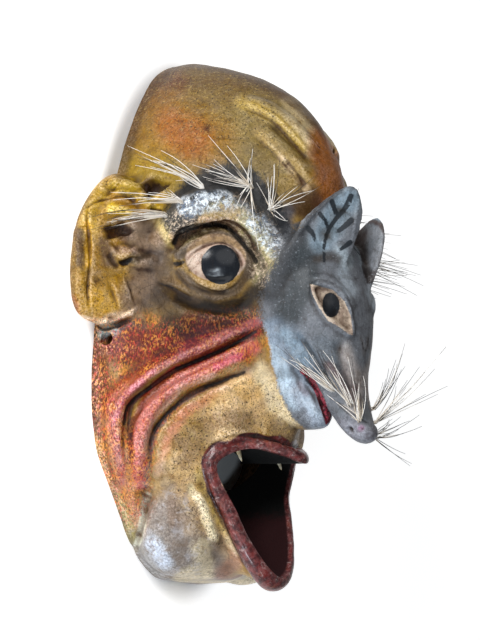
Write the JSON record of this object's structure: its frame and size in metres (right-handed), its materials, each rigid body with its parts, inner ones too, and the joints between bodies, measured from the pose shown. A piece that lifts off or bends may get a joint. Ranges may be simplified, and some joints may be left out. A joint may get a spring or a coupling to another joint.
{
  "type": "carved and painted wooden dance mask of a grotesque face with a fox's head for a nose",
  "caption": "Carved and painted wooden mask with an open mouth, hollow back and a fox's head as its nose, with bristle brows and whiskers.",
  "frame": {"origin": "middle of the open back, in the plane of its flat rim, on which the mask lies", "axes": "+X across the face towards the mask's own left, +Y up the face towards the forehead, +Z out of the face"},
  "size_m": [0.2265, 0.3283, 0.1719],
  "materials": {
    "painted_wood": "worn paint over carved wood, satin varnish",
    "tooth": "white paint",
    "bristle": "natural animal bristle"
  },
  "bodies": {
    "root": {"mask": "painted_wood", "tooth_right": "tooth", "tooth_left": "tooth", "brow_tuft_right_1": "bristle", "brow_tuft_right_2": "bristle", "brow_tuft_right_3": "bristle", "brow_tuft_right_4": "bristle", "brow_tuft_right_5": "bristle", "brow_tuft_left_1": "bristle", "brow_tuft_left_2": "bristle", "brow_tuft_left_3": "bristle", "brow_tuft_left_4": "bristle", "brow_tuft_left_5": "bristle", "whisker_tuft_right_1": "bristle", "whisker_tuft_right_2": "bristle", "whisker_tuft_right_3": "bristle", "whisker_tuft_left_1": "bristle", "whisker_tuft_left_2": "bristle", "whisker_tuft_left_3": "bristle"}
  },
  "joints": []
}
